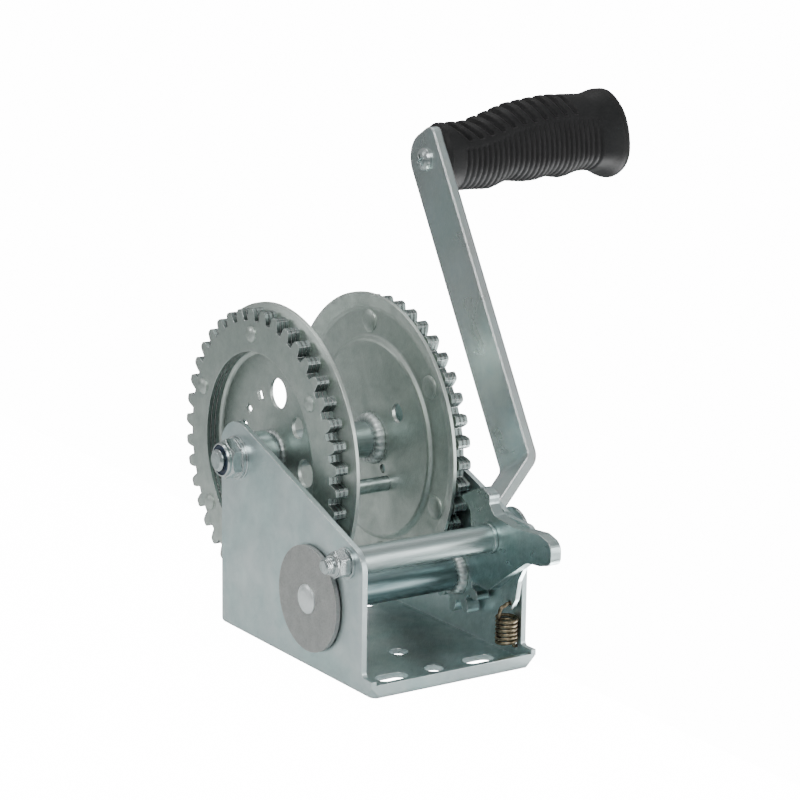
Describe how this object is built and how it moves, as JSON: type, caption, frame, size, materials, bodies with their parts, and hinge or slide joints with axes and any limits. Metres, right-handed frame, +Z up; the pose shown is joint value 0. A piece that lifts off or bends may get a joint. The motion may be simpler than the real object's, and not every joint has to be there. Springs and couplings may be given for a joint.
{
  "type": "boat trailer winch",
  "caption": "Hand-cranked boat trailer winch: bent sheet frame, geared strap drum, crank shaft with pinions, two-way spring pawl and a cranked arm with a rubber grip.",
  "frame": {"origin": "middle of the flat underside of the base, where it is bolted down", "axes": "+X towards the crank side along the shafts, -Y towards the open front lip, +Z up from the base"},
  "size_m": [0.2954, 0.2434, 0.276],
  "materials": {
    "zinc_plate": "bluish bright zinc plating on sheet steel, satin",
    "zinc_fasteners": "bright zinc plated fasteners",
    "drum_steel": "zinc plated stamped steel, darker and slightly greenish",
    "steel": "zinc plated machined steel",
    "dull_plate": "dull grey plated disc",
    "weld": "plated weld bead",
    "bush_bronze": "sintered bronze bush",
    "spring_wire": "yellow-bronze passivated spring wire",
    "nylon": "dark blue nylon locking ring",
    "grip_rubber": "satin black moulded rubber"
  },
  "bodies": {
    "base": {"frame": "zinc_plate", "axle_bolt": "zinc_fasteners", "axle_nut": "zinc_fasteners", "axle_nut_insert": "nylon", "axle_washers": "zinc_fasteners", "drum_spacer": "steel", "drum_thrust_washer": "steel", "tie_bolt": "zinc_fasteners", "tie_nut": "zinc_fasteners", "tie_washers": "zinc_fasteners", "tie_tube": "zinc_plate", "pawl_sleeve": "steel", "pawl_washer": "steel", "shaft_bush_left": "bush_bronze", "shaft_bush_right": "bush_bronze", "pawl_spring": "spring_wire"},
    "drum": {"flange_left": "drum_steel", "flange_right": "drum_steel", "gear_left_inner": "drum_steel", "gear_left_middle": "drum_steel", "gear_left_outer": "drum_steel", "gear_right_inner": "drum_steel", "gear_right_middle": "drum_steel", "gear_right_outer": "drum_steel", "rivets_left": "drum_steel", "rivets_right": "drum_steel", "core_tube": "zinc_plate", "weld_beads": "weld", "drum_bush_left": "bush_bronze", "drum_bush_right": "bush_bronze", "strap_bolt": "zinc_fasteners", "strap_nut": "zinc_fasteners"},
    "crank": {"crank_shaft": "steel", "pinion_left": "steel", "pinion_right": "steel", "shaft_collar": "steel", "end_disc": "dull_plate", "crank_arm": "zinc_plate", "crank_washer": "zinc_fasteners", "crank_nut": "zinc_fasteners", "grip_screw": "zinc_fasteners", "grip_sleeve": "steel", "grip_nut": "zinc_fasteners"},
    "grip": {"grip": "grip_rubber", "grip_plug": "grip_rubber"},
    "pawl": {"pawl": "steel", "pawl_spring_arm": "zinc_plate", "pawl_rivets": "zinc_fasteners"}
  },
  "joints": [
    {"name": "drum_spin", "type": "hinge", "parent": "base", "child": "drum", "pos_m": [0, 0.0576, 0.0972], "axis": [1, 0, 0], "continuous": true},
    {"name": "crank_spin", "type": "hinge", "parent": "base", "child": "crank", "pos_m": [0, -0.01837, 0.03933], "axis": [1, 0, 0], "continuous": true},
    {"name": "grip_spin", "type": "hinge", "parent": "crank", "child": "grip", "pos_m": [0.16, 0.10004, 0.24197], "axis": [1, 0, 0], "continuous": true},
    {"name": "pawl_swing", "type": "hinge", "parent": "base", "child": "pawl", "pos_m": [0.04, -0.0514, 0.0665], "axis": [1, 0, 0], "range_deg": [-50, 0], "deforming": ["pawl_spring"]}
  ],
  "couplings": [
    {"joint": "crank_spin", "follows": "drum_spin", "ratio": -4}
  ]
}
